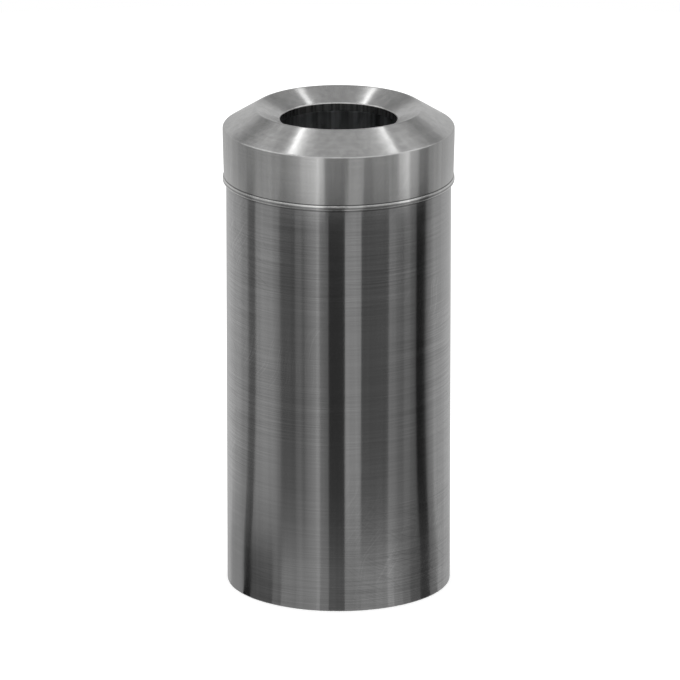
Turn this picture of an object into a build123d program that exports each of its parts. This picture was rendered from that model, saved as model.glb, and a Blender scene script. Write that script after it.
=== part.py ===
from build123d import *
import math
import os

# Cone top waste bin: a rolled steel body, a lift-off cone top with a funnel mouth,
# and a galvanised inner bucket with a wire bail. Millimetres, +Z up, and the
# origin on the floor in the middle of the body. The front is -Y.

# Body tube
body_diameter = 300.0
body_height = 632.5
body_sheet = 1.0
rim_curl_diameter = 4.5
rim_curl_turn = 225.0
foot_hem_height = 9.0
foot_hem_width = 3.6
foot_corner_radius = 0.8

# Recessed bottom of the body, pressed from one disc
pan_sheet = 1.0
pan_recess = 10.0
pan_flange_height = 20.0
pan_corner_radius = 3.0
pan_step_height = 4.0
pan_step_inset = 37.0
pan_step_run = 5.0
pan_bend_radius = 2.0

# Cone top, with insets measured inwards from the outside of the body
lid_sheet = 1.0
skirt_clearance = 2.0
skirt_flare = 1.5
skirt_height = 70.9
skirt_bend_drop = 8.0
skirt_bend_radius = 150.0
skirt_hem_height = 6.5
skirt_hem_gap = 0.5
shoulder_land = 0.6
shoulder_radius = 3.0
cone_rise = 27.0
crest_inset = 39.0
crest_radius = 5.0
funnel_drop = 16.1
mouth_inset = 72.2
mouth_lip_radius = 2.5
collar_depth = 11.0

# Inner bucket
bucket_sheet = 0.8
bucket_side_clearance = 3.0
bucket_rim_drop = 18.5
bucket_floor_recess = 9.0
bucket_floor_corner = 2.5
bucket_step_height = 3.0
bucket_step_inset = 42.0
bucket_step_run = 4.0
bucket_bend_radius = 2.0
bucket_curl_diameter = 4.3
bucket_curl_turn = 225.0
seam_width = 7.0
seam_thickness = 0.8
seam_rim_gap = 8.0

# Bail, and the two ears that carry it
bail_wire_diameter = 4.0
bail_bend_radius = 3.0
bail_end_inset = 5.0
bail_head_diameter = 7.0
bail_head_length = 2.0
ear_sheet = 2.0
ear_width = 20.0
ear_drop = 22.0
ear_corner_radius = 4.0
rivet_diameter = 3.2
rivet_head_diameter = 6.5
rivet_head_height = 1.2
rivet_spacing = 10.0
rivet_margin = 6.0

# Clearances
seat_clearance = 0.3
bail_hole_clearance = 0.5
bail_ear_gap = 1.0
rivet_clearance = 0.05

# Body places
body_outer = body_diameter / 2
body_mid = body_outer - body_sheet / 2
body_inner = body_outer - body_sheet
rim_curl_mid = (rim_curl_diameter - body_sheet) / 2
rim_curl_radius = body_outer - rim_curl_diameter / 2
rim_curl_height = body_height - rim_curl_diameter / 2
foot_leg_radius = body_outer - foot_hem_width + body_sheet / 2

# Lid places: the inside of the cone rests on the rim curl of the body, so the height
# of the shoulder follows from where the circle of the curl touches the cone
skirt_bottom_radius = body_outer + skirt_clearance + lid_sheet
skirt_top_radius = skirt_bottom_radius + skirt_flare
crest_corner_radius = body_outer - crest_inset
mouth_radius = body_outer - mouth_inset
cone_slope = math.atan2(cone_rise, skirt_top_radius - crest_corner_radius)
shoulder_tangent = shoulder_radius * math.tan((math.pi / 2 - cone_slope) / 2)
seat_distance = rim_curl_diameter / 2 + seat_clearance + lid_sheet
seat_across = skirt_top_radius - rim_curl_radius
shoulder_height = (
    rim_curl_height + seat_distance / math.cos(cone_slope) - seat_across * math.tan(cone_slope)
)
seam_height = shoulder_height - shoulder_tangent - shoulder_land
crest_height = shoulder_height + cone_rise
mouth_height = crest_height - funnel_drop

# Bucket places
bucket_curl_mid = (bucket_curl_diameter - bucket_sheet) / 2
bucket_rim_radius = body_outer - rim_curl_diameter - bucket_side_clearance
bucket_radius = bucket_rim_radius - 2 * bucket_curl_mid
bucket_mid = bucket_radius - bucket_sheet / 2
bucket_inner = bucket_radius - bucket_sheet
bucket_bottom = pan_recess + pan_sheet + seat_clearance
bucket_rim_height = body_height - bucket_rim_drop
bucket_curl_height = bucket_rim_height - bucket_curl_mid - bucket_sheet / 2

# Bail and ear places
bail_height = bucket_rim_height + bail_wire_diameter / 2 + seat_clearance
bail_radius = bucket_inner + bail_ear_gap + bail_wire_diameter / 2
ear_inner = bucket_inner - ear_sheet
ear_bottom = bucket_rim_height - ear_drop
rivet_height = ear_bottom + rivet_margin
rivet_turn = math.degrees(math.asin(rivet_spacing / 2 / bucket_inner))
bail_end = ear_inner - bail_end_inset

os.makedirs("parts", exist_ok=True)


def save(piece, name):
    """Labels a finished piece and writes it to its own file."""
    piece.part.label = name
    export_step(piece.part, f"parts/{name}.step")


def rivet_places():
    """Gives the four rivet places, two on each ear, with local X pointing outwards."""
    places = []
    for ear_angle in (0, 180):
        for turn in (-rivet_turn, rivet_turn):
            places.append(Location((0, 0, rivet_height), (0, 0, ear_angle + turn)))
    return places


# Body shell: one rolled sheet, folded in at the foot and curled in at the rim
with BuildPart() as body_shell:
    with BuildSketch(Plane.XZ):
        with BuildLine():
            foot = FilletPolyline(
                (foot_leg_radius, foot_hem_height),
                (foot_leg_radius, body_sheet / 2),
                (body_mid, body_sheet / 2),
                (body_mid, rim_curl_height),
                radius=foot_corner_radius,
            )
            JernArc(foot @ 1, foot % 1, rim_curl_mid, rim_curl_turn)
        trace(line_width=body_sheet)
    revolve(axis=Axis.Z)
save(body_shell, "body_shell")


# Base pan: a pressed disc with an upturned flange, welded inside the tube
with BuildPart() as base_pan:
    with BuildSketch(Plane.XZ):
        with BuildLine():
            pan_low = pan_recess + pan_sheet / 2
            pan_high = pan_low + pan_step_height
            pan_edge = body_inner - pan_sheet / 2
            pan_step = body_inner - pan_step_inset
            FilletPolyline(
                (0, pan_high),
                (pan_step - pan_step_run, pan_high),
                (pan_step, pan_low),
                (pan_edge, pan_low),
                (pan_edge, pan_recess + pan_flange_height),
                radius=(pan_bend_radius, pan_bend_radius, pan_corner_radius),
            )
        trace(line_width=pan_sheet)
    revolve(axis=Axis.Z)
save(base_pan, "base_pan")


# Lid skirt: the slightly tapered ring below the shoulder, with its edge folded out
with BuildPart() as lid_skirt:
    with BuildSketch(Plane.XZ):
        with BuildLine():
            hem_mid = (lid_sheet + skirt_hem_gap) / 2
            hem_reach = hem_mid + lid_sheet / 2
            ring = FilletPolyline(
                (skirt_top_radius - lid_sheet / 2, seam_height),
                (skirt_top_radius - lid_sheet / 2, seam_height - skirt_bend_drop),
                (skirt_bottom_radius - lid_sheet / 2, seam_height - skirt_height + hem_reach),
                radius=skirt_bend_radius,
            )
            fold = JernArc(ring @ 1, ring % 1, hem_mid, 180)
            Line(fold @ 1, fold @ 1 + (fold % 1) * (skirt_hem_height - hem_reach))
        trace(line_width=lid_sheet)
    revolve(axis=Axis.Z)
save(lid_skirt, "lid_skirt")


# Lid cone: spun in one piece, over the shoulder, up to the crest, down the funnel
# and into the short collar round the mouth
with BuildPart() as lid_cone:
    with BuildSketch(Plane.XZ):
        with BuildLine():
            FilletPolyline(
                (skirt_top_radius, seam_height),
                (skirt_top_radius, shoulder_height),
                (crest_corner_radius, crest_height),
                (mouth_radius, mouth_height),
                (mouth_radius, mouth_height - collar_depth),
                radius=(shoulder_radius, crest_radius, mouth_lip_radius),
            )
            offset(amount=lid_sheet, side=Side.LEFT)
        make_face()
    revolve(axis=Axis.Z)
save(lid_cone, "lid_cone")


# Bucket wall: rolled sheet with a grooved seam at the back, its rim curled out,
# and four holes for the ear rivets
with BuildPart() as bucket_wall:
    with BuildSketch(Plane.XZ):
        with BuildLine():
            side = Line((bucket_mid, bucket_bottom), (bucket_mid, bucket_curl_height))
            JernArc(side @ 1, side % 1, bucket_curl_mid, -bucket_curl_turn)
        trace(line_width=bucket_sheet)
    revolve(axis=Axis.Z)
    with BuildSketch(Plane.XY.offset(bucket_bottom)):
        Circle(bucket_radius + seam_thickness)
        Circle(bucket_mid, mode=Mode.SUBTRACT)
        with Locations((0, bucket_radius)):
            Rectangle(seam_width, bucket_radius, mode=Mode.INTERSECT)
    extrude(amount=bucket_rim_height - seam_rim_gap - bucket_bottom)
    with Locations(*rivet_places()):
        with Locations((bucket_mid, 0, 0)):
            Cylinder(
                rivet_diameter / 2 + rivet_clearance,
                4 * bucket_sheet,
                rotation=(0, 90, 0),
                mode=Mode.SUBTRACT,
            )
save(bucket_wall, "bucket_wall")


# Bucket floor: a pressed disc set up into the wall on a turned-down flange
with BuildPart() as bucket_floor:
    with BuildSketch(Plane.XZ):
        with BuildLine():
            floor_low = bucket_bottom + bucket_floor_recess + bucket_sheet / 2
            floor_high = floor_low + bucket_step_height
            floor_edge = bucket_inner - bucket_sheet / 2
            floor_step = bucket_inner - bucket_step_inset
            FilletPolyline(
                (0, floor_high),
                (floor_step - bucket_step_run, floor_high),
                (floor_step, floor_low),
                (floor_edge, floor_low),
                (floor_edge, bucket_bottom),
                radius=(bucket_bend_radius, bucket_bend_radius, bucket_floor_corner),
            )
        trace(line_width=bucket_sheet)
    revolve(axis=Axis.Z)
save(bucket_floor, "bucket_floor")


def make_ear(side):
    """Builds one ear: a curved plate inside the wall that stands above the rim."""
    with BuildPart() as ear:
        with BuildSketch(Plane.YZ) as outline:
            with Locations((0, bail_height)):
                Circle(ear_width / 2)
            with Locations((0, ear_bottom)):
                Rectangle(ear_width, bail_height - ear_bottom, align=(Align.CENTER, Align.MIN))
            fillet(outline.vertices().group_by(Axis.Y)[0], ear_corner_radius)
        extrude(amount=side * bucket_radius)
        Cylinder(bucket_inner, 4 * body_height, mode=Mode.INTERSECT)
        Cylinder(ear_inner, 4 * body_height, mode=Mode.SUBTRACT)
        with Locations((side * bucket_inner, 0, bail_height)):
            Cylinder(
                bail_wire_diameter / 2 + bail_hole_clearance,
                4 * ear_sheet,
                rotation=(0, 90, 0),
                mode=Mode.SUBTRACT,
            )
        with Locations(*rivet_places()):
            with Locations((bucket_inner, 0, 0)):
                Cylinder(
                    rivet_diameter / 2 + rivet_clearance,
                    4 * ear_sheet,
                    rotation=(0, 90, 0),
                    mode=Mode.SUBTRACT,
                )
    return ear


# Ears: one plate at each end of the bail
for ear_name, ear_side in (("bucket_ear_left", -1), ("bucket_ear_right", 1)):
    save(make_ear(ear_side), ear_name)


# Ear rivets: two through each ear and the wall, with a head inside and outside
with BuildPart() as ear_rivets:
    with Locations(*rivet_places()):
        with Locations((ear_inner - rivet_clearance, 0, 0)):
            grip = bucket_radius - ear_inner + 2 * rivet_clearance
            along = {"rotation": (0, 90, 0), "align": (Align.CENTER, Align.CENTER, Align.MIN)}
            Cylinder(rivet_diameter / 2, grip, **along)
            Cone(
                rivet_head_diameter / 2,
                rivet_diameter / 2,
                rivet_head_height,
                rotation=(0, -90, 0),
                align=(Align.CENTER, Align.CENTER, Align.MIN),
            )
        with Locations((bucket_radius + rivet_clearance, 0, 0)):
            Cone(rivet_head_diameter / 2, rivet_diameter / 2, rivet_head_height, **along)
save(ear_rivets, "ear_rivets")


# Bail: a half ring of wire that lies on the rim, with its ends turned in through
# the ears and headed so that they stay there
with BuildPart() as bail_handle:
    with BuildLine(Plane.XY.offset(bail_height)) as bail_path:
        Line((-bail_end, 0), (-bail_radius, 0))
        ThreePointArc((-bail_radius, 0), (0, -bail_radius), (bail_radius, 0))
        Line((bail_radius, 0), (bail_end, 0))
        fillet(bail_path.vertices().filter_by(lambda v: abs(v.X) > ear_inner), bail_bend_radius)
    with BuildSketch(Plane.YZ.offset(-bail_end)):
        with Locations((0, bail_height)):
            Circle(bail_wire_diameter / 2)
    sweep(path=bail_path.wire())
    for side in (-1, 1):
        with Locations((side * bail_end, 0, bail_height)):
            Cylinder(
                bail_head_diameter / 2,
                bail_head_length,
                rotation=(0, -side * 90, 0),
                align=(Align.CENTER, Align.CENTER, Align.MIN),
            )
save(bail_handle, "bail_handle")
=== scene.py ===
# %% [markdown]
# A cone top waste bin is three plain turned things: a rolled tube, a spun lid that sits over its
# rim, and a galvanised bucket inside. Almost all that the eye gets from it is what its brushed
# steel mirrors, so the lesson is as much about the studio round the bin as about the bin.
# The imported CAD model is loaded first, and every size below is read from it or named in metres.

# %% Load the frame
import math
import bpy
import numpy as np
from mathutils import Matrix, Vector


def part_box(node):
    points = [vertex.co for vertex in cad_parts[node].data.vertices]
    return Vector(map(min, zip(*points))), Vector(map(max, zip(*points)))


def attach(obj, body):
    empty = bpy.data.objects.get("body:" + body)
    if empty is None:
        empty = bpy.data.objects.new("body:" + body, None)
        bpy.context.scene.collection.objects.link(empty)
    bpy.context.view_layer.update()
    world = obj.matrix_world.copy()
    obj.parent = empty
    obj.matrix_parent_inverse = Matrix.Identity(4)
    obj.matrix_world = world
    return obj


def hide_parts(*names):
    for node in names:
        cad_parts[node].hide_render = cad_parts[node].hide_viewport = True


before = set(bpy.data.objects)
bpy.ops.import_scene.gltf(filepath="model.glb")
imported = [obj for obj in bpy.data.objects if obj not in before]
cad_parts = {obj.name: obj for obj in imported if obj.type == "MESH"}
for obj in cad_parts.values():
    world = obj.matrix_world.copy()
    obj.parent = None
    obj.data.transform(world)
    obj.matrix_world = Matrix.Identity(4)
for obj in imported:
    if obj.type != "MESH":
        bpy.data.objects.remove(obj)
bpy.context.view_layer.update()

# %% [markdown]
# The photograph was taken from far away with a long lens, about 17 degrees above the horizon.
# A long lens keeps the sides of the tube parallel, and the height of the camera sets how round
# the mouth looks. The aim is a point on the axis halfway up, with a small step to the side.

# %% Camera
CAMERA_ELEVATION = math.radians(16.97)
CAMERA_DISTANCE = 12.22
CAMERA_LENS = 483.0
CAMERA_AIM = np.array([0.0018, 0.0, 0.3329])

camera = bpy.data.objects.new("camera", bpy.data.cameras.new("camera"))
bpy.context.scene.collection.objects.link(camera)
camera.data.lens = CAMERA_LENS
camera.data.clip_end = 50.0
camera.location = CAMERA_AIM + CAMERA_DISTANCE * np.array(
    [0.0, -math.cos(CAMERA_ELEVATION), math.sin(CAMERA_ELEVATION)]
)
camera.rotation_euler = (math.pi / 2 - CAMERA_ELEVATION, 0.0, 0.0)
bpy.context.scene.camera = camera
print("camera at", [round(c, 3) for c in camera.location])

# %% [markdown]
# A turned piece is an outline carried round the axis. The outline is worked out as one array of
# (radius, height) pairs: straight runs with rounded corners, then a copy to each side for the
# thickness of the sheet, with round edges like a deburred cut.


# %% Outlines
def arc(centre, radius, start, end, count=9):
    """Points of an arc: the centre plus the radius times (cos t, sin t), t from start to end in
    equal steps, in degrees."""
    t = np.radians(np.linspace(start, end, count))
    return np.asarray(centre) + radius * np.stack([np.cos(t), np.sin(t)], axis=1)


def rounded(corners, radii, count=9):
    """A run through the corners, each inner corner replaced by an arc that touches both sides.
    The arc starts radius * tan(turn / 2) before the corner, and its centre lies one radius to
    the side that the run turns to."""
    corners = np.asarray(corners, float)
    points = [corners[:1]]
    for before, corner, after, radius in zip(corners, corners[1:], corners[2:], radii):
        into = (corner - before) / np.linalg.norm(corner - before)
        out = (after - corner) / np.linalg.norm(after - corner)
        turn = math.atan2(into[0] * out[1] - into[1] * out[0], into @ out)
        side = math.copysign(1.0, turn)
        start = corner - into * radius * math.tan(abs(turn) / 2)
        centre = start + side * radius * np.array([-into[1], into[0]])
        first = math.degrees(math.atan2(*(start - centre)[::-1]))
        points.append(arc(centre, radius, first, first + math.degrees(turn), count))
    return np.concatenate([*points, corners[-1:]])


def curl(path, radius, turn, count=19):
    """Adds an arc that leaves the end of the path straight on and turns through some degrees,
    to the left if turn is positive."""
    into = path[-1] - path[-2]
    into = into / np.linalg.norm(into)
    side = math.copysign(1.0, turn)
    centre = path[-1] + side * radius * np.array([-into[1], into[0]])
    first = math.degrees(math.atan2(*(path[-1] - centre)[::-1]))
    return np.concatenate([path, arc(centre, radius, first, first + turn, count)[1:]])


def sheet(path, right, left, on_axis=False, edge_depth=None):
    """A closed outline round a sheet: the path moved to its right, then back along the path
    moved to its left, with half round ends. Each point moves along the mean of the normals of
    its two sides, divided by the cosine of half the angle between them. With edge_depth, the
    right side thins down over that depth to the far end, like a quarter of an ellipse."""
    step = np.diff(path, axis=0)
    keep = np.r_[True, np.linalg.norm(step, axis=1) > 1e-9]
    path = path[keep]
    step = np.diff(path, axis=0)
    step /= np.linalg.norm(step, axis=1)[:, None]
    normal = np.stack([step[:, 1], -step[:, 0]], axis=1)
    mean = np.concatenate([normal[:1], normal[:-1] + normal[1:], normal[-1:]])
    mean /= np.linalg.norm(mean, axis=1)[:, None]
    cosine = np.r_[1.0, (mean[1:-1] * normal[1:]).sum(1), 1.0]
    mean /= cosine[:, None]
    outer, inner = path + right * mean, (path - left * mean)[::-1]
    if on_axis:
        return np.concatenate([outer, rim(outer[-1], inner[0], step[-1])[1:-1], inner])
    if edge_depth:
        drop = np.clip((outer @ step[-1] - outer[-1] @ step[-1]) / edge_depth + 1, 0, 1)
        far = np.arange(len(outer)) > len(outer) // 2
        thin = np.where(far, 1 - np.sqrt(1 - 0.96 * drop**2), 0.0)[:, None]
        outer = outer + thin * (path - outer)
    ends = rim(outer[-1], inner[0], step[-1])[1:-1], rim(inner[-1], outer[0], -step[0])[1:-1]
    return np.concatenate([outer, ends[0], inner, ends[1]])


def rim(start, end, outwards, count=7):
    """Half an ellipse from start to end, a third of its width deep, drawn inside the cut so that
    the piece keeps its length."""
    middle, half = (start + end) / 2, (end - start) / 2
    depth = 0.66 * np.linalg.norm(half)
    t = np.linspace(0, math.pi, count)[:, None]
    return middle - np.cos(t) * half + (np.sin(t) - 1.0) * depth * outwards


# %% [markdown]
# The outline is turned about Z in equal steps. Each point gets a UV with u round the axis and v
# along the outline in metres, because the brushed finish needs to know which way is round.

# %% Turned surfaces
ROUND_STEPS = 360
SHARP_ANGLE = math.radians(32)


def turned(name, outline, steps=ROUND_STEPS):
    """Carries a closed outline round Z: x = r cos a, y = r sin a, z = h, with a in equal steps.
    An outline that starts and ends on the axis gets one shared point at each pole."""
    outline = np.asarray(outline, float)
    poles = outline[0, 0] < 1e-9 and outline[-1, 0] < 1e-9
    ring = outline[1:-1] if poles else outline
    count = len(ring)
    angle = np.arange(steps) * 2 * math.pi / steps
    around = np.stack([np.cos(angle), np.sin(angle)], axis=1)
    flat = around[:, None, :] * ring[None, :, :1]
    high = np.broadcast_to(ring[None, :, 1:], (steps, count, 1))
    points = np.concatenate([flat, high], axis=2).reshape(-1, 3)
    here = np.arange(steps)[:, None] * count + np.arange(count)[None, :]
    after = np.roll(here, -1, axis=0)
    last = count - 1 if poles else count
    quads = np.stack(
        [part[:, :last] for part in (here, after, np.roll(after, -1, 1), np.roll(here, -1, 1))],
        axis=2,
    ).reshape(-1, 4)
    length = np.r_[0.0, np.cumsum(np.linalg.norm(np.diff(outline, axis=0), axis=1))]
    closing = length[-1] + np.linalg.norm(outline[0] - outline[-1])
    along = length[1:-1] if poles else length
    u = np.arange(steps + 1) / steps
    v = np.r_[along, closing]
    u_here, u_after, v_here, v_next = np.broadcast_arrays(
        u[:-1, None], u[1:, None], v[None, :last], v[None, 1 : last + 1]
    )
    uv = np.stack(
        [u_here, v_here, u_after, v_here, u_after, v_next, u_here, v_next], axis=2
    ).reshape(-1, 2)
    faces = quads.tolist()
    if poles:
        low, top = len(points), len(points) + 1
        points = np.concatenate([points, [[0, 0, outline[0, 1]], [0, 0, outline[-1, 1]]]])
        faces += [[low, a, h] for a, h in zip(after[:, 0].tolist(), here[:, 0].tolist())]
        faces += [[h, a, top] for h, a in zip(here[:, -1].tolist(), after[:, -1].tolist())]
        uv = np.concatenate([
            uv,
            pole_uv(u, 0.0, v[0], v[0]),
            pole_uv(u, along[-1], along[-1], length[-1]),
        ])
    return mesh_piece(name, points, faces, uv)


def pole_uv(u, *heights):
    """UVs of the triangles round a pole: u runs here, after, here, and v is given per corner."""
    across = [u[:-1], u[1:], u[:-1]]
    corners = [part for u_part, v_part in zip(across, heights) for part in (u_part, v_part + 0 * u_part)]
    return np.stack(corners, axis=1).reshape(-1, 2)


def mesh_piece(name, points, faces, uv=None):
    """Puts points and faces into a new smooth mesh whose sharp folds stay sharp."""
    mesh = bpy.data.meshes.new(name)
    mesh.from_pydata(points.tolist(), [], faces)
    if uv is not None:
        mesh.uv_layers.new(name="UVMap").data.foreach_set("uv", np.asarray(uv, np.float32).ravel())
    mesh.polygons.foreach_set("use_smooth", np.ones(len(mesh.polygons), bool))
    mesh.set_sharp_from_angle(angle=SHARP_ANGLE)
    mesh.update()
    piece = bpy.data.objects.new(name, mesh)
    bpy.context.scene.collection.objects.link(piece)
    print(name, "has", len(mesh.polygons), "faces")
    return piece


def dress(piece, body, slot, *nodes):
    """Makes a piece ride on its body and stand for its CAD nodes. slot is not used."""
    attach(piece, body)
    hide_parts(*nodes)
    return piece


# %% [markdown]
# The tube is one rolled sheet. Its foot is folded in, which gives the bin its clean bare edge on
# the floor, and its rim is curled in, so that no cut edge meets a hand when the lid is off.

# %% Body tube
SHEET = 0.001
FOOT_HEM_HEIGHT = 0.009
FOOT_HEM_WIDTH = 0.0036
FOOT_CORNER = 0.0008
RIM_CURL = 0.0045
RIM_CURL_TURN = 225

body_low, body_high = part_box("body_shell")
body_radius, body_top = body_high[0], body_high[2]
tube_middle = body_radius - SHEET / 2
foot_middle = body_radius - FOOT_HEM_WIDTH + SHEET / 2
tube_path = rounded(
    [
        (foot_middle, FOOT_HEM_HEIGHT),
        (foot_middle, SHEET / 2),
        (tube_middle, SHEET / 2),
        (tube_middle, body_top - RIM_CURL / 2),
    ],
    [FOOT_CORNER, FOOT_CORNER],
    count=5,
)
tube_path = curl(tube_path, (RIM_CURL - SHEET) / 2, RIM_CURL_TURN)
tube = turned("tube", sheet(tube_path, SHEET / 2, SHEET / 2))
dress(tube, "body", "body_steel", "body_shell")

# %% [markdown]
# The bottom is a pressed disc set up inside the tube. It only shows when the bucket is out.

# %% Base pan
PAN_STEP_INSET = 0.037
PAN_STEP_HEIGHT = 0.004
PAN_STEP_RUN = 0.005

pan_low, pan_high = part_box("base_pan")
pan_edge = pan_high[0] - SHEET / 2
pan_floor = pan_low[2] + SHEET / 2
pan_step = pan_high[0] - PAN_STEP_INSET
pan_path = rounded(
    [
        (0.0, pan_floor + PAN_STEP_HEIGHT),
        (pan_step - PAN_STEP_RUN, pan_floor + PAN_STEP_HEIGHT),
        (pan_step, pan_floor),
        (pan_edge, pan_floor),
        (pan_edge, pan_high[2]),
    ],
    [0.002, 0.002, 0.003],
    count=5,
)
pan = turned("base_disc", sheet(pan_path, SHEET / 2, SHEET / 2, on_axis=True))
dress(pan, "body", "base_steel", "base_pan")

# %% [markdown]
# The skirt of the lid is a ring that widens a little towards the top. Its lower edge is folded
# out and up. Folding machines leave that hem slightly full, with its free edge tucked in, so it
# reads as a bead: its upper part catches the front screen, together with a painted highlight in
# its finish, as the fine bright line round the bin.

# %% Lid skirt
SKIRT_BEND_DROP = 0.008
SKIRT_BEND_RADIUS = 0.150
SKIRT_HEM_HEIGHT = 0.0065
SKIRT_HEM_GAP = 0.0005
SKIRT_BOTTOM_GAP = 0.002
HEM_FULLNESS = 0.0001
HEM_TUCK = 0.0004
HEM_EDGE_DEPTH = 0.0020

skirt_low, skirt_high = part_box("lid_skirt")
cone_low, cone_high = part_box("lid_cone")
seam_height = cone_low[2]
skirt_top = cone_high[0]
skirt_bottom = body_radius + SKIRT_BOTTOM_GAP + SHEET
hem_middle = (SHEET + SKIRT_HEM_GAP) / 2
hem_reach = hem_middle + SHEET / 2
skirt_path = rounded(
    [
        (skirt_top - SHEET / 2, seam_height),
        (skirt_top - SHEET / 2, seam_height - SKIRT_BEND_DROP),
        (skirt_bottom - SHEET / 2, skirt_low[2] + hem_reach),
    ],
    [SKIRT_BEND_RADIUS],
    count=7,
)
skirt_path = curl(skirt_path, hem_middle, 180, count=13)
hem_part = (np.sin(np.linspace(0, math.pi / 2, 15)) ** 0.8)[1:]
hem_leg = np.stack([
    skirt_path[-1, 0] + 4 * HEM_FULLNESS * hem_part * (1 - hem_part) - HEM_TUCK * hem_part**2,
    skirt_path[-1, 1] + (SKIRT_HEM_HEIGHT - hem_reach) * hem_part,
], axis=1)
skirt_path = np.concatenate([skirt_path, hem_leg])
skirt = turned("skirt", sheet(skirt_path, SHEET / 2, SHEET / 2, edge_depth=HEM_EDGE_DEPTH))
dress(skirt, "lid", "lid_steel", "lid_skirt")
print("bead reaches", round(2 * float(np.abs([c[0] for c in skirt.bound_box]).max()), 4), "m across")

# %% [markdown]
# The cone is spun from one disc: over a tight shoulder, up to the crest, down the funnel and
# round a small lip into a short collar that hides the cut edge from above.

# %% Lid cone
SHOULDER_RADIUS = 0.003
CONE_RISE = 0.027
CREST_INSET = 0.039
CREST_RADIUS = 0.005
FUNNEL_DROP = 0.0161
MOUTH_INSET = 0.0722
MOUTH_LIP = 0.0025
COLLAR_DEPTH = 0.011
SHOULDER_LAND = 0.0006

crest_corner = body_radius - CREST_INSET
mouth_radius = body_radius - MOUTH_INSET
cone_slope = math.atan2(CONE_RISE, skirt_top - crest_corner)
shoulder_height = seam_height + SHOULDER_LAND + SHOULDER_RADIUS * math.tan((math.pi / 2 - cone_slope) / 2)
crest_height = shoulder_height + CONE_RISE
mouth_height = crest_height - FUNNEL_DROP
cone_path = rounded(
    [
        (skirt_top, seam_height),
        (skirt_top, shoulder_height),
        (crest_corner, crest_height),
        (mouth_radius, mouth_height),
        (mouth_radius, mouth_height - COLLAR_DEPTH),
    ],
    [SHOULDER_RADIUS, CREST_RADIUS, MOUTH_LIP],
    count=21,
)
cone = turned("cone", sheet(cone_path, 0.0, SHEET))
dress(cone, "lid", "lid_steel", "lid_cone")
print("mouth", round(2 * mouth_radius, 4), "m across, crest at", round(float(cone_path[:, 1].max()), 4))

# %% [markdown]
# The bucket is rolled galvanised sheet with a curled rim and a grooved seam at the back. Only
# its dark inside shows through the mouth until the lid is lifted.

# %% Bucket wall and floor
BUCKET_SHEET = 0.0008
BUCKET_CURL = 0.0043
BUCKET_CURL_TURN = 225
BUCKET_FLOOR_RECESS = 0.009
BUCKET_STEP_INSET = 0.042
BUCKET_STEP_HEIGHT = 0.003
BUCKET_STEP_RUN = 0.004

wall_low, wall_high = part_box("bucket_wall")
curl_middle = (BUCKET_CURL - BUCKET_SHEET) / 2
bucket_radius = wall_high[0] - 2 * curl_middle
bucket_middle = bucket_radius - BUCKET_SHEET / 2
wall_path = np.array([
    (bucket_middle, wall_low[2]),
    (bucket_middle, wall_high[2] - BUCKET_CURL / 2),
])
wall_path = curl(wall_path, curl_middle, -BUCKET_CURL_TURN)
bucket_wall = turned("bucket_side", sheet(wall_path, BUCKET_SHEET / 2, BUCKET_SHEET / 2))
dress(bucket_wall, "bucket", "galvanised_sheet", "bucket_wall")

floor_edge = bucket_radius - 1.5 * BUCKET_SHEET
floor_plane = wall_low[2] + BUCKET_FLOOR_RECESS + BUCKET_SHEET / 2
floor_step = bucket_radius - BUCKET_SHEET - BUCKET_STEP_INSET
floor_path = rounded(
    [
        (0.0, floor_plane + BUCKET_STEP_HEIGHT),
        (floor_step - BUCKET_STEP_RUN, floor_plane + BUCKET_STEP_HEIGHT),
        (floor_step, floor_plane),
        (floor_edge, floor_plane),
        (floor_edge, wall_low[2]),
    ],
    [0.002, 0.002, 0.0025],
    count=5,
)
bucket_floor = turned("bucket_bottom", sheet(floor_path, BUCKET_SHEET / 2, BUCKET_SHEET / 2, on_axis=True))
dress(bucket_floor, "bucket", "galvanised_sheet", "bucket_floor")


# %% [markdown]
# The grooved seam is a folded strip that stands a little proud of the back of the bucket. It is
# a small grid: across the strip a flattened arch, and up the wall a straight run.

# %% Bucket seam
SEAM_WIDTH = 0.007
SEAM_PROUD = 0.0008
SEAM_RIM_GAP = 0.008


def upright_strip(name, radius, width, proud, low, high, across=17):
    """A closed arched strip on a round wall, at the back: across it, the height above the wall is
    proud * (1 - s^6) with s from -1 to 1, and its underside lies just inside the wall."""
    s = np.linspace(-1, 1, across)
    angle = math.pi / 2 - s * width / 2 / radius
    reach = np.r_[radius + proud * (1 - s**6), np.full(across, radius - proud / 4)]
    angle = np.r_[angle, angle[::-1]]
    loop = np.stack([reach * np.cos(angle), reach * np.sin(angle)], axis=1)
    heights = np.array([low, high])
    points = np.concatenate([np.c_[loop, np.full(len(loop), z)] for z in heights])
    count = len(loop)
    here = np.arange(count)
    after = np.roll(here, -1)
    sides = np.stack([here, here + count, after + count, after], axis=1).tolist()
    return mesh_piece(name, points, sides + [here.tolist(), (here[::-1] + count).tolist()])


seam_strip = upright_strip(
    "bucket_seam", bucket_radius, SEAM_WIDTH, SEAM_PROUD, wall_low[2], wall_high[2] - SEAM_RIM_GAP
)
dress(seam_strip, "bucket", "galvanised_sheet", "bucket_wall")

# %% [markdown]
# Brushing leaves thousands of fine grooves round the tube. Each groove spreads light across
# itself, up and down, and hardly at all along itself, so the tube mirrors the room as sharp
# upright bands that are smeared from top to bottom. In Principled BSDF that is Anisotropic,
# with the tangent taken from the UV map. The lid was spun and then rubbed satin, so it gets the
# same finish with wider spread. Fine hairlines come from noise that is stretched round the bin,
# and scuffs from noise that lies aslant on the unrolled sheet.


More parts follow.
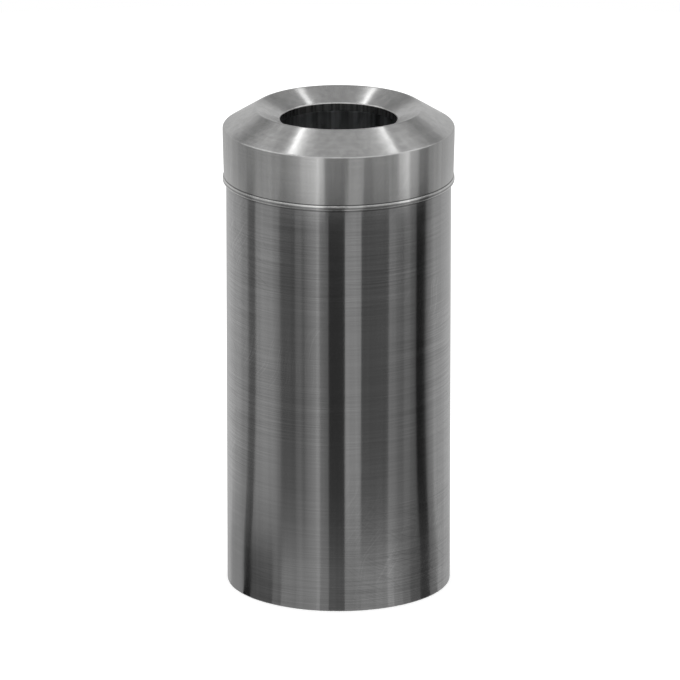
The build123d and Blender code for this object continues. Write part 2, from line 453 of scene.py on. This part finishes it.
# %% Material helpers
def new_material(name):
    """A material with only a Principled BSDF and its output. Returns (tree, shader)."""
    material = bpy.data.materials.new(name)
    material.use_nodes = True
    tree = material.node_tree
    tree.nodes.clear()
    shader = tree.nodes.new("ShaderNodeBsdfPrincipled")
    output = tree.nodes.new("ShaderNodeOutputMaterial")
    tree.links.new(shader.outputs["BSDF"], output.inputs["Surface"])
    return material, tree, shader


def noise(tree, scale, stretch, detail=3.0):
    """Noise on Object coordinates, finer or coarser along each axis by stretch."""
    place = tree.nodes.new("ShaderNodeTexCoord")
    mapping = tree.nodes.new("ShaderNodeMapping")
    mapping.inputs["Scale"].default_value = stretch
    texture = tree.nodes.new("ShaderNodeTexNoise")
    texture.inputs["Scale"].default_value = scale
    texture.inputs["Detail"].default_value = detail
    tree.links.new(place.outputs["Object"], mapping.inputs["Vector"])
    tree.links.new(mapping.outputs["Vector"], texture.inputs["Vector"])
    return texture.outputs["Fac"]


def between(tree, value, low, high, to_low, to_high):
    """Maps value from the range low..high to the range to_low..to_high, and no further."""
    node = tree.nodes.new("ShaderNodeMapRange")
    node.inputs["From Min"].default_value = low
    node.inputs["From Max"].default_value = high
    node.inputs["To Min"].default_value = to_low
    node.inputs["To Max"].default_value = to_high
    tree.links.new(value, node.inputs["Value"])
    return node.outputs["Result"]


def combine(tree, operation, first, second):
    """Adds, multiplies or otherwise combines two values. Either may be a plain number."""
    node = tree.nodes.new("ShaderNodeMath")
    node.operation = operation
    for socket, value in zip(node.inputs, (first, second)):
        if isinstance(value, (int, float)):
            socket.default_value = value
        else:
            tree.links.new(value, socket)
    return node.outputs["Value"]


def tint(tree, shader, colour, factor):
    """Base colour: the metal's own colour times a grey factor."""
    node = tree.nodes.new("ShaderNodeMix")
    node.data_type = "RGBA"
    node.blend_type = "MULTIPLY"
    node.inputs["Factor"].default_value = 1.0
    node.inputs["A"].default_value = (*colour, 1.0)
    grey = tree.nodes.new("ShaderNodeCombineColor")
    for channel in ("Red", "Green", "Blue"):
        tree.links.new(factor, grey.inputs[channel])
    tree.links.new(grey.outputs["Color"], node.inputs["B"])
    tree.links.new(node.outputs["Result"], shader.inputs["Base Color"])


def bump(tree, shader, height, distance, strength=1.0):
    """Tilts the shading normal by the slope of a height, in metres times distance."""
    node = tree.nodes.new("ShaderNodeBump")
    node.inputs["Distance"].default_value = distance
    node.inputs["Strength"].default_value = strength
    tree.links.new(height, node.inputs["Height"])
    tree.links.new(node.outputs["Normal"], shader.inputs["Normal"])


# %% [markdown]
# Cleaning leaves scuffs on such a bin: long, thin marks that run aslant, light or dark as the
# light falls. A streaky noise turned by an angle gives them on the unrolled sheet, a second,
# coarse noise bends them a little, and a third keeps them to a few patches.

# %% Scuffs
SCUFF_BENDS_PER_METRE = 7.0
SCUFF_BEND = 0.07
SCUFF_LENGTH = 45


def scratches(tree, turn, fineness, threshold, seed):
    """Scuffs: thin noise streaks that lie aslant on the unrolled sheet, kept to a few patches.
    The UV map is scaled to metres first, because u is a whole turn and v is in metres."""
    unrolled = tree.nodes.new("ShaderNodeUVMap")
    unrolled.uv_map = "UVMap"
    metres = tree.nodes.new("ShaderNodeMapping")
    metres.inputs["Scale"].default_value = (2 * math.pi * body_radius, 1.0, 1.0)
    bend = tree.nodes.new("ShaderNodeTexNoise")
    bend.inputs["Scale"].default_value = SCUFF_BENDS_PER_METRE
    shift = tree.nodes.new("ShaderNodeMix")
    shift.data_type = "VECTOR"
    shift.inputs["Factor"].default_value = SCUFF_BEND
    lean = tree.nodes.new("ShaderNodeMapping")
    lean.inputs["Rotation"].default_value = (0.0, 0.0, math.radians(turn))
    stretch = tree.nodes.new("ShaderNodeMapping")
    stretch.inputs["Scale"].default_value = (fineness, fineness / SCUFF_LENGTH, 1.0)
    streak = tree.nodes.new("ShaderNodeTexNoise")
    streak.inputs["Scale"].default_value = 1.0
    streak.inputs["Detail"].default_value = 2.0
    tree.links.new(unrolled.outputs["UV"], metres.inputs["Vector"])
    tree.links.new(metres.outputs["Vector"], bend.inputs["Vector"])
    tree.links.new(metres.outputs["Vector"], shift.inputs["A"])
    tree.links.new(bend.outputs["Color"], shift.inputs["B"])
    tree.links.new(shift.outputs["Result"], lean.inputs["Vector"])
    tree.links.new(lean.outputs["Vector"], stretch.inputs["Vector"])
    tree.links.new(stretch.outputs["Vector"], streak.inputs["Vector"])
    thin = between(tree, streak.outputs["Fac"], threshold, threshold + 0.1, 0.0, 1.0)
    patch = between(tree, noise(tree, seed, (1.0, 1.0, 0.8), detail=1.0), 0.52, 0.66, 0.0, 1.0)
    return combine(tree, "MULTIPLY", thin, patch)


# %% [markdown]
# One recipe serves the tube, the skirt and the cone. Two sizes of hairlines run round the axis
# and change both the brightness and the blur. Faint upright marks, left by the rolls, give the
# surface a slope of a few thousandths, which feathers the edges of the mirrored bands.

# %% Brushed steel
HAIRLINES = (13.0, 13.0, 640.0)
COARSE_LINES = (4.0, 4.0, 104.0)
ROLL_MARKS = (110.0, 110.0, 1.2)
FINE_SHARE = 0.65
CLOUD_TINT = 0.025
ROLL_TINT = 0.06
CLOUD_BLUR = 0.008
ROLL_WAVE = 1.5
GROOVE_DEPTH = 0.000004
CLEAR_LIP = 0.0008
BAND_EDGE = 0.0003


def band_factor(tree, height, low, high, factor):
    """1 outside the heights low to high and the factor between them, with short ramps."""
    above = between(tree, height, low, low + BAND_EDGE, 0.0, factor - 1.0)
    past = between(tree, height, high - BAND_EDGE, high, 0.0, factor - 1.0)
    return combine(tree, "ADD", combine(tree, "SUBTRACT", above, past), 1.0)


def distance_from_axis(tree, place):
    """Length of (x, y, 0)."""
    flat = tree.nodes.new("ShaderNodeVectorMath")
    flat.operation = "MULTIPLY"
    flat.inputs[1].default_value = (1.0, 1.0, 0.0)
    radius = tree.nodes.new("ShaderNodeVectorMath")
    radius.operation = "LENGTH"
    tree.links.new(place, flat.inputs[0])
    tree.links.new(flat.outputs["Vector"], radius.inputs[0])
    return radius.outputs["Value"]


def brushed_steel(name, colour, roughness, streak, scuffs, bare_within=None, bands=()):
    """Stainless sheet brushed round the axis. streak is how much the hairlines change its
    brightness, and scuffs how much the aslant marks do. Within the radius bare_within, where the
    sheet turns down into the mouth, nobody brushed it and it is a clearer mirror. Each of the
    bands is a low height, a high one and a factor: painted highlight or painted shade along an edge."""
    material, tree, shader = new_material(name)
    shader.inputs["Metallic"].default_value = 1.0
    shader.inputs["Anisotropic"].default_value = 1.0
    shader.inputs["Anisotropic Rotation"].default_value = 0.25
    tangent = tree.nodes.new("ShaderNodeTangent")
    tangent.direction_type = "UV_MAP"
    tangent.uv_map = "UVMap"
    tree.links.new(tangent.outputs["Tangent"], shader.inputs["Tangent"])
    place = tree.nodes.new("ShaderNodeTexCoord")
    height = tree.nodes.new("ShaderNodeSeparateXYZ")
    tree.links.new(place.outputs["Object"], height.inputs["Vector"])
    fine = between(tree, noise(tree, 1.0, HAIRLINES), 0.34, 0.66, -1.0, 1.0)
    broad = between(tree, noise(tree, 1.0, COARSE_LINES), 0.32, 0.68, -1.0, 1.0)
    mask = between(tree, noise(tree, 5.0, (1.0, 1.0, 1.5), detail=1.0), 0.4, 0.62, 0.35, 1.0)
    cloud = between(tree, noise(tree, 12.0, (1.0, 1.0, 0.6)), 0.35, 0.7, -1.0, 1.0)
    roll_marks = between(tree, noise(tree, 1.0, ROLL_MARKS), 0.35, 0.65, -1.0, 1.0)
    fine = combine(tree, "MULTIPLY", fine, FINE_SHARE)
    broad = combine(tree, "MULTIPLY", broad, 1.0 - FINE_SHARE)
    lines = combine(tree, "MULTIPLY", combine(tree, "ADD", fine, broad), mask)
    light_scuffs = scratches(tree, 28.0, 560.0, 0.55, 7.0)
    dark_scuffs = scratches(tree, -58.0, 640.0, 0.56, 5.3)
    marks = combine(tree, "SUBTRACT", light_scuffs, dark_scuffs)
    grey = combine(tree, "ADD", combine(tree, "MULTIPLY", lines, streak), 1.0)
    for part, share in ((cloud, CLOUD_TINT), (roll_marks, ROLL_TINT), (marks, scuffs)):
        grey = combine(tree, "ADD", grey, combine(tree, "MULTIPLY", part, share))
    for low, high, factor in bands:
        grey = combine(tree, "MULTIPLY", grey, band_factor(tree, height.outputs["Z"], low, high, factor))
    tint(tree, shader, colour, grey)
    worn = between(tree, lines, -1.0, 1.0, roughness * 0.9, roughness * 1.1)
    worn = combine(tree, "ADD", worn, combine(tree, "MULTIPLY", cloud, CLOUD_BLUR))
    if bare_within is not None:
        radius = distance_from_axis(tree, place.outputs["Object"])
        bare = between(tree, radius, bare_within - CLEAR_LIP, bare_within, 0.5, 1.0)
        worn = combine(tree, "MULTIPLY", worn, bare)
    tree.links.new(worn, shader.inputs["Roughness"])
    waves = combine(tree, "ADD", lines, combine(tree, "MULTIPLY", roll_marks, ROLL_WAVE))
    bump(tree, shader, waves, GROOVE_DEPTH)
    return material


# %% [markdown]
# The bead is only a few millimetres high, so its fold is drawn with thin bands of painted light
# as well: a painted highlight on its fullest part, a stripe of painted shade below it, painted
# shade in the slit above and a lighter painted reflection at its foot. Just under the lid's edge a
# faint dark line of painted shade lies on the tube, and it stays there when the lid is off.

# %% Finishes of tube, skirt and cone
BODY_METAL = (0.44, 0.44, 0.44)
LID_METAL = (0.58, 0.58, 0.575)
# Heights of the painted light on the bead: its lighter foot, its painted highlight and the painted shade
# in the slit above.
HEM_FOOT = 0.0018
HEM_HIGHLIGHT = 0.0022
HEM_SLIT_SHADE = 0.0016
# How far the line of painted shade on the tube reaches below and above the lid's edge.
SHADE_BELOW_EDGE = 0.0030
SHADE_ABOVE_EDGE = 0.0010

lid_edge = skirt_low[2]
hem_top = lid_edge + SKIRT_HEM_HEIGHT
# Painted light on the bead, from its foot up: a lighter painted reflection, a stripe of painted shade, a
# painted highlight, and painted shade in the slit above the hem.
hem_painted_light = [
    # low, high, brightness
    (lid_edge, lid_edge + HEM_FOOT, 1.15),
    (lid_edge + HEM_FOOT, hem_top - HEM_HIGHLIGHT, 0.7),
    (hem_top - HEM_HIGHLIGHT, hem_top, 1.5),
    (hem_top, hem_top + HEM_SLIT_SHADE, 0.35),
]
# Painted shade: a faint dark line on the tube just under the lid's edge, darker by a factor of 0.6.
painted_shade_band = [(lid_edge - SHADE_BELOW_EDGE, lid_edge + SHADE_ABOVE_EDGE, 0.6)]
body_steel = brushed_steel("body_steel_finish", BODY_METAL, 0.19, 0.20, 0.16, bands=painted_shade_band)
skirt_steel = brushed_steel("skirt_steel_finish", LID_METAL, 0.25, 0.06, 0.06, bands=hem_painted_light)
cone_steel = brushed_steel(
    "cone_steel_finish", LID_METAL, 0.25, 0.05, 0.04, bare_within=mouth_radius + CLEAR_LIP
)

# %% [markdown]
# Galvanised sheet shows faint cells of zinc, each a slightly different grey, under a soft blur.
# The Voronoi texture gives such cells. The bucket was rolled, so it also has broad upright marks.

# %% Galvanised steel and the small parts
ZINC_CELLS_PER_METRE = 110.0


def dull_steel(name, colour, roughness, spangle, upright_marks=0.0):
    """Zinc or mill finish: cells of slightly different grey, a soft blur, and where the sheet
    was rolled round, broad upright marks."""
    material, tree, shader = new_material(name)
    shader.inputs["Metallic"].default_value = 1.0
    place = tree.nodes.new("ShaderNodeTexCoord")
    cells = tree.nodes.new("ShaderNodeTexVoronoi")
    cells.inputs["Scale"].default_value = ZINC_CELLS_PER_METRE
    tree.links.new(place.outputs["Object"], cells.inputs["Vector"])
    separate = tree.nodes.new("ShaderNodeSeparateColor")
    tree.links.new(cells.outputs["Color"], separate.inputs["Color"])
    cloud = noise(tree, 14.0, (1.0, 1.0, 0.5), detail=4.0)
    zinc = between(tree, separate.outputs["Red"], 0.0, 1.0, 1.0 - spangle, 1.0 + spangle)
    grey = combine(tree, "MULTIPLY", zinc, between(tree, cloud, 0.3, 0.7, 0.9, 1.08))
    rolled = noise(tree, 1.0, (70.0, 70.0, 1.5))
    marks = between(tree, rolled, 0.4, 0.62, 1.0 - upright_marks, 1.0 + upright_marks)
    grey = combine(tree, "MULTIPLY", grey, marks)
    tint(tree, shader, colour, grey)
    blur = between(tree, separate.outputs["Green"], 0.0, 1.0, roughness - 0.05, roughness + 0.08)
    tree.links.new(blur, shader.inputs["Roughness"])
    bump(tree, shader, cloud, 0.0002, 0.3)
    return material


base_steel = dull_steel("base_steel_finish", (0.5, 0.51, 0.51), 0.38, 0.02)
zinc_sheet = dull_steel("zinc_sheet_finish", (0.42, 0.43, 0.44), 0.34, 0.03, upright_marks=0.5)
zinc_plate = dull_steel("zinc_plate_finish", (0.42, 0.44, 0.45), 0.42, 0.06)
zinc_wire = dull_steel("zinc_wire_finish", (0.5, 0.52, 0.53), 0.3, 0.03)
rivet_steel = dull_steel("rivet_finish", (0.55, 0.55, 0.55), 0.3, 0.02)

for piece, material in (
    (tube, body_steel), (skirt, skirt_steel), (cone, cone_steel), (pan, base_steel),
    (bucket_wall, zinc_sheet), (bucket_floor, zinc_sheet), (seam_strip, zinc_sheet),
):
    piece.data.materials.clear()
    piece.data.materials.append(material)

NODE_FINISH = {
    "bucket_ear_left": zinc_plate,
    "bucket_ear_right": zinc_plate,
    "ear_rivets": rivet_steel,
    "bail_handle": zinc_wire,
}
for node, material in NODE_FINISH.items():
    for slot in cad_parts[node].material_slots:
        slot.material = material
print("finishes:", sorted(m.name for m in bpy.data.materials if m.name.endswith("_finish")))

# %% [markdown]
# Steel shows the room, so the room is built like the photographed one. The bin stands on a pale
# floor in white light. Grey and dark cards stand close round it and make the upright bands.
# A far camera sees the room in a tube by one rule: at the place where the tube has turned
# through p, its mirror image looks in the direction 2p. So each card is written down by where
# its image is seen across the tube, from -1 at the left edge to 1 at the right, and the rule
# gives its azimuth. The camera and the pale floor don't see the cards: they are for the metal.


# %% Studio helpers
def card_material():
    """Emission as strong as the point attribute glow, and not sampled as a lamp."""
    material = bpy.data.materials.new("card_glow")
    material.use_nodes = True
    tree = material.node_tree
    tree.nodes.clear()
    emission = tree.nodes.new("ShaderNodeEmission")
    output = tree.nodes.new("ShaderNodeOutputMaterial")
    attribute = tree.nodes.new("ShaderNodeAttribute")
    attribute.attribute_name = "glow"
    tree.links.new(attribute.outputs["Fac"], emission.inputs["Strength"])
    tree.links.new(emission.outputs["Emission"], output.inputs["Surface"])
    material.cycles.emission_sampling = "NONE"
    return material


card_glow = card_material()


def card(name, points, glow):
    """A bent sheet from a grid of points, across by up, that shines with a brightness given at
    each point. It casts no shadow, and only mirror rays see it."""
    across, up = points.shape[:2]
    here = np.arange(across - 1)[:, None] * up + np.arange(up - 1)[None, :]
    faces = np.stack([here, here + up, here + up + 1, here + 1], axis=2).reshape(-1, 4).tolist()
    piece = mesh_piece(name, points.reshape(-1, 3), faces)
    values = np.broadcast_to(glow, (across, up)).astype(np.float32).ravel()
    piece.data.attributes.new("glow", "FLOAT", "POINT").data.foreach_set("value", values)
    piece.data.materials.append(card_glow)
    piece.visible_camera = piece.visible_diffuse = piece.visible_shadow = False
    return piece


def upright(azimuth, radius, height):
    """Points at x = R sin a, y = -R cos a, so that azimuth 0 is the front and 90 the right."""
    azimuth, radius, height = np.broadcast_arrays(azimuth, radius, height)
    return np.stack([radius * np.sin(azimuth), -radius * np.cos(azimuth), height], axis=-1)


# %% [markdown]
# Near the floor the real cards are lit by the pale floor, and the outermost ones lean outwards.
# So each card of the tube has a third brightness, for its foot, and runs on along the floor to
# the tube, because the lowest part of the steel mirrors that strip of floor.

# %% Cards for the tube
RING = 0.25
CARD_TOP = 0.54
LEAN = 0.06
STRIP_GAP = 0.00045
STRIP_HEIGHT = 0.0005
TUBE_CARDS = [
    # seen up to, brightness at its left, at its right, at its foot
    (-0.93, 0.62, 0.62, 0.55),
    (-0.80, 0.60, 0.33, 0.40),
    (-0.735, 0.17, 0.17, 0.03),
    (-0.60, 0.45, 0.45, 0.14),
    (-0.52, 0.42, 0.28, 0.24),
    (-0.385, 0.15, 0.14, 0.37),
    (-0.33, 0.23, 0.24, 0.42),
    (-0.30, 0.18, 0.18, 0.40),
    (-0.20, 0.25, 0.40, 0.42),
    (-0.17, 0.52, 0.52, 0.52),
    (-0.09, 0.28, 0.20, 0.33),
    (0.055, 0.05, 0.06, 0.17),
    (0.20, 0.46, 0.44, 0.36),
    (0.445, 0.135, 0.135, 0.42),
    (0.50, 0.33, 0.33, 0.55),
    (0.58, 0.28, 0.20, 0.38),
    (0.63, 0.28, 0.28, 0.28),
    (0.685, 0.22, 0.16, 0.17),
    (0.765, 0.02, 0.02, 0.08),
    (0.83, 0.15, 0.45, 0.25),
    (1.0, 0.50, 0.62, 0.50),
]
CARD_ROWS = np.array([0.0, 0.0, 0.04, 0.08, 0.12, 0.20, 0.30, CARD_TOP])
FOOT_SHARE = np.array([1.0, 1.0, 0.55, 0.25, 0.10, 0.0, 0.0, 0.0])
LEAN_SHARE = np.array([1.0, 1.0, 0.85, 0.60, 0.40, 0.15, 0.0, 0.0])


def stand(place, radius):
    """Azimuth on the ring of the card whose image is seen at that place: with sin p = place, it
    is 2 p - asin(radius sin p / ring), where the mirrored ray crosses the ring."""
    place = np.clip(place, -1.0, 1.0)
    return 2 * np.arcsin(place) - np.arcsin(radius * place / RING)


place = -1.0
for number, (end, left, right, foot) in enumerate(TUBE_CARDS):
    seen = np.linspace(place, end, 5)[:, None]
    outer = np.clip((abs(seen) - 0.6) / 0.1, 0, 1) * np.clip((1 - abs(seen)) / 0.1, 0, 1)
    leaning = seen + LEAN * np.sign(seen) * outer * LEAN_SHARE
    points = upright(stand(leaning, body_radius), RING, CARD_ROWS)
    at_tube = np.arcsin(np.clip(leaning[:, 0], -1, 1))
    points[:, 0] = upright(at_tube, body_radius + STRIP_GAP, 0.0)
    points[:, :2, 2] = STRIP_HEIGHT
    glow = np.linspace(left, right, 5)[:, None]
    card(f"tube_card_{number:02d}", points, glow + (foot - glow) * FOOT_SHARE)
    place = end

# %% [markdown]
# The photographed bands of the lid aren't those of the tube: they are brighter and sit at other
# places. So the lid has its own ring of cards, on top of those for the tube.

# %% Cards for the lid
LID_CARD_TOP = 0.66
LID_CARDS = [
    # seen up to, brightness at its left, at its right
    (-0.92, 0.56, 0.52),
    (-0.83, 0.48, 0.30),
    (-0.72, 0.29, 0.30),
    (-0.51, 0.38, 0.37),
    (-0.46, 0.29, 0.29),
    (-0.33, 0.34, 0.52),
    (-0.17, 0.60, 1.00),
    (-0.12, 0.80, 0.60),
    (0.085, 0.26, 0.22),
    (0.215, 0.42, 0.46),
    (0.30, 0.25, 0.25),
    (0.50, 0.31, 0.36),
    (0.57, 0.45, 1.00),
    (0.61, 1.00, 1.00),
    (0.69, 0.66, 0.45),
    (0.77, 0.30, 0.18),
    (1.0, 0.33, 0.58),
]
place = -1.0
for number, (end, left, right) in enumerate(LID_CARDS):
    seen = np.linspace(place, end, 5)[:, None]
    points = upright(stand(seen, skirt_top), RING, np.array([CARD_TOP, LID_CARD_TOP]))
    card(f"lid_card_{number:02d}", points, np.linspace(left, right, 5)[:, None])
    place = end

# %% [markdown]
# The cone looks almost straight up at its front and to the far back at its sides. It gets a grey
# ceiling that falls off towards the back, a screen behind, and two narrow lamps that lie aslant
# under the ceiling. Each lamp draws one streak on the front of the cone and one in the funnel.
# A bare lamp would draw it with hard edges, so the ceiling glows softly round each lamp too. The
# front screen is bright at half height: the bead and the shoulder mirror that as a fine line.

# %% Screens
CEILING_HEIGHT = 2.2
FRONT_RADIUS = 0.9
BACK_RADIUS = 1.6
FRONT_HEIGHTS = np.array([LID_CARD_TOP, 0.95, 1.1, 1.7, 1.85, CEILING_HEIGHT])
FRONT_GLOW = np.array([0.4, 0.4, 1.2, 1.2, 0.4, 0.4])
BACK_HEIGHTS = np.array([0.45, 1.28, 1.55, 1.8, CEILING_HEIGHT])
BACK_GLOW = np.array([0.62, 0.62, 0.33, 0.29, 0.38])
turn = np.radians(np.linspace(-115, 115, 24))[:, None]
card("front_screen", upright(turn, FRONT_RADIUS, FRONT_HEIGHTS), FRONT_GLOW)
turn = np.radians(np.linspace(115, 245, 14))[:, None]
card("back_screen", upright(turn, BACK_RADIUS, BACK_HEIGHTS), BACK_GLOW)

# %% Ceiling
CEILING_HALF = 1.7
CEILING_STEPS = 137
LAMPS = {
    # x, y, angle from the X axis, width, brightness, width and brightness of its soft surround
    "lamp_left": (-0.49, 0.615, 65, 0.07, 4.2, 0.11, 1.5),
    "lamp_right": (0.57, 0.70, 129, 0.045, 7.0, 0.07, 1.2),
}
LAMP_LENGTH = 0.55
LAMP_DROP = 0.02
GLOW_TIGHTNESS = 1.6
HALOS = [
    # x, y, spread, strength
    (-0.44, 0.34, 0.13, 1.0),
    (0.52, 0.33, 0.22, 0.30),
]
grid = np.linspace(-CEILING_HALF, CEILING_HALF, CEILING_STEPS)
across, deep = np.meshgrid(grid, grid, indexing="ij")
ceiling_glow = np.interp(deep, [0.3, 0.65], [0.49, 0.36])
for x, y, spread, strength in HALOS:
    ceiling_glow = ceiling_glow + strength * np.exp(-((across - x) ** 2 + (deep - y) ** 2) / spread**2)
for x, y, aslant, _, _, spread, strength in LAMPS.values():
    cos, sin = math.cos(math.radians(aslant)), math.sin(math.radians(aslant))
    along = (across - x) * cos + (deep - y) * sin
    aside = (across - x) * sin - (deep - y) * cos
    falls = (aside / spread) ** 2 + (along / LAMP_LENGTH * GLOW_TIGHTNESS) ** 4
    ceiling_glow = ceiling_glow + strength * np.exp(-falls)
card("ceiling", np.stack([across, deep, np.full_like(across, CEILING_HEIGHT)], axis=-1), ceiling_glow)


# %% [markdown]
# The lamps themselves are area lights just under the ceiling. Their power is worked out from the
# brightness that their mirror image should have.

# %% Lamps
def lamp(name, x, y, aslant, width, radiance):
    """A rectangular lamp that faces down, turned by an angle about the vertical. Its power is
    its radiance times pi times its area."""
    light = bpy.data.lights.new(name, "AREA")
    light.shape = "RECTANGLE"
    light.size, light.size_y = LAMP_LENGTH, width
    light.energy = radiance * math.pi * LAMP_LENGTH * width
    piece = bpy.data.objects.new(name, light)
    piece.location = (x, y, CEILING_HEIGHT - LAMP_DROP)
    piece.rotation_euler = (0.0, 0.0, math.radians(aslant))
    bpy.context.scene.collection.objects.link(piece)
    print(name, "at", [round(c, 2) for c in piece.location])


for name, values in LAMPS.items():
    lamp(name, *values[:5])


# %% [markdown]
# The floor and the world are white to the camera, at a strength of 1, and the metal mirrors the
# same white world. The floor keeps the soft shadow of the bin: its pale colour is lit as usual,
# and for camera rays a little white is added, so that it only turns white away from the bin.

# %% Floor and world
FLOOR_RADIUS = 3.0
FLOOR_PALE = 0.8
FLOOR_LIFT = 0.5



def disc(name, radius, height, steps=96):
    """A flat round: a fan of triangles from the middle to a circle."""
    a = np.arange(steps) * 2 * math.pi / steps
    points = np.c_[radius * np.cos(a), radius * np.sin(a), np.full(steps, height)]
    points = np.concatenate([points, [[0, 0, height]]])
    here = np.arange(steps)
    faces = np.stack([here, np.roll(here, -1), np.full(steps, steps)], axis=1).tolist()
    return mesh_piece(name, points, faces)


floor = disc("floor", FLOOR_RADIUS, 0.0)
floor_material, floor_tree, floor_shader = new_material("floor_pale")
floor_shader.inputs["Base Color"].default_value = (FLOOR_PALE, FLOOR_PALE, FLOOR_PALE, 1.0)
floor_shader.inputs["Roughness"].default_value = 1.0
floor_shader.inputs["Specular IOR Level"].default_value = 0.0
floor_shader.inputs["Emission Color"].default_value = (1.0, 1.0, 1.0, 1.0)
ray = floor_tree.nodes.new("ShaderNodeLightPath")
lift = combine(floor_tree, "MULTIPLY", ray.outputs["Is Camera Ray"], FLOOR_LIFT)
floor_tree.links.new(lift, floor_shader.inputs["Emission Strength"])
floor_material.cycles.emission_sampling = "NONE"
floor.data.materials.append(floor_material)

world = bpy.data.worlds.new("white_room")
bpy.context.scene.world = world
world.use_nodes = True
world_tree = world.node_tree
background = world_tree.nodes["Background"]
background.inputs["Color"].default_value = (1.0, 1.0, 1.0, 1.0)
background.inputs["Strength"].default_value = 1.0
world.cycles.sampling_method = "NONE"

# %% Colour view
bpy.context.scene.view_settings.view_transform = "Standard"
